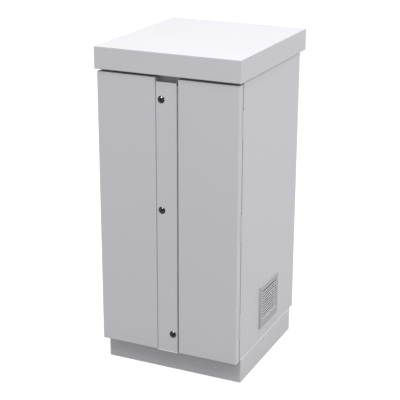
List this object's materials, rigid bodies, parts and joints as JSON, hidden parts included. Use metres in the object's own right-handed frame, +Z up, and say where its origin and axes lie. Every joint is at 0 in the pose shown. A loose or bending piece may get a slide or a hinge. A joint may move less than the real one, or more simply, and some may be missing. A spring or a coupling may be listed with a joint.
{
  "type": "roadside utility cabinet",
  "caption": "Free-standing sheet-metal roadside cabinet: rain hood, double doors with quarter-turn locks on a recessed cover strip, louvred side vent and a bolt-down plinth.",
  "frame": {"origin": "on the ground below the middle of the roof", "axes": "+Z up, the doors face -Y, +X to the right of someone facing the doors"},
  "size_m": [0.595, 0.676, 1.3],
  "materials": {
    "cabinet_paint": "fine-textured satin powder coat, pale neutral grey",
    "grille_plastic": "moulded matt grey",
    "filter_mat": "charcoal fibre mat",
    "zinc_plate": "bright zinc plate",
    "galvanised_sheet": "galvanised, faint spangle",
    "lock_black": "gloss black die casting",
    "seal_rubber": "black foam rubber",
    "brass": "plain brass"
  },
  "bodies": {
    "cabinet": {"plinth": "cabinet_paint", "plinth_bolts": "zinc_plate", "plinth_nuts": "zinc_plate", "floor_pan": "cabinet_paint", "gland_plate": "galvanised_sheet", "gland_screws": "zinc_plate", "shell": "cabinet_paint", "header_rail": "cabinet_paint", "sill_rail": "cabinet_paint", "centre_post": "cabinet_paint", "ceiling_panel": "cabinet_paint", "roof": "cabinet_paint", "roof_studs": "zinc_plate", "roof_nuts": "zinc_plate", "vent_grille": "grille_plastic", "vent_filter": "filter_mat", "vent_retainer": "grille_plastic", "vent_screws": "zinc_plate", "mounting_plate": "galvanised_sheet", "plate_studs": "zinc_plate", "plate_spacers": "zinc_plate", "plate_nuts": "zinc_plate", "earth_stud": "brass", "earth_nuts": "brass", "left_hinge_frame_halves": "cabinet_paint", "right_hinge_frame_halves": "cabinet_paint", "left_hinge_pins": "zinc_plate", "right_hinge_pins": "zinc_plate", "left_hinge_washers": "zinc_plate", "right_hinge_washers": "zinc_plate"},
    "left_door": {"left_door": "cabinet_paint", "left_door_seal": "seal_rubber", "left_hinge_door_halves": "cabinet_paint", "cover_strip": "cabinet_paint", "strip_rivets": "zinc_plate", "strip_seal": "seal_rubber", "lock_housings": "lock_black", "lock_nuts": "zinc_plate"},
    "right_door": {"right_door": "cabinet_paint", "right_door_seal": "seal_rubber", "right_hinge_door_halves": "cabinet_paint", "door_bolt_bracket": "galvanised_sheet"},
    "door_bolt": {"door_bolt": "zinc_plate"},
    "lower_lock": {"lower_lock_plug": "lock_black", "lower_lock_cam": "zinc_plate", "lower_lock_screw": "zinc_plate"},
    "middle_lock": {"middle_lock_plug": "lock_black", "middle_lock_cam": "zinc_plate", "middle_lock_screw": "zinc_plate"},
    "upper_lock": {"upper_lock_plug": "lock_black", "upper_lock_cam": "zinc_plate", "upper_lock_screw": "zinc_plate"}
  },
  "joints": [
    {"name": "left_door_swing", "type": "hinge", "parent": "cabinet", "child": "left_door", "pos_m": [-0.291, -0.29525, 0.6525], "axis": [0, 0, -1], "range_deg": [0, 120]},
    {"name": "right_door_swing", "type": "hinge", "parent": "cabinet", "child": "right_door", "pos_m": [0.291, -0.29525, 0.6525], "axis": [0, 0, 1], "range_deg": [0, 120]},
    {"name": "door_bolt_slide", "type": "slide", "parent": "right_door", "child": "door_bolt", "axis": [0, 0, 1], "range_m": [0, 0.022]},
    {"name": "lower_lock_turn", "type": "hinge", "parent": "left_door", "child": "lower_lock", "pos_m": [0.02, -0.328, 0.176], "axis": [0, -1, 0], "range_deg": [0, 90]},
    {"name": "middle_lock_turn", "type": "hinge", "parent": "left_door", "child": "middle_lock", "pos_m": [-0.0235, -0.328, 0.6889], "axis": [0, -1, 0], "range_deg": [0, 90]},
    {"name": "upper_lock_turn", "type": "hinge", "parent": "left_door", "child": "upper_lock", "pos_m": [-0.0235, -0.328, 1.122], "axis": [0, -1, 0], "range_deg": [0, 90]}
  ]
}
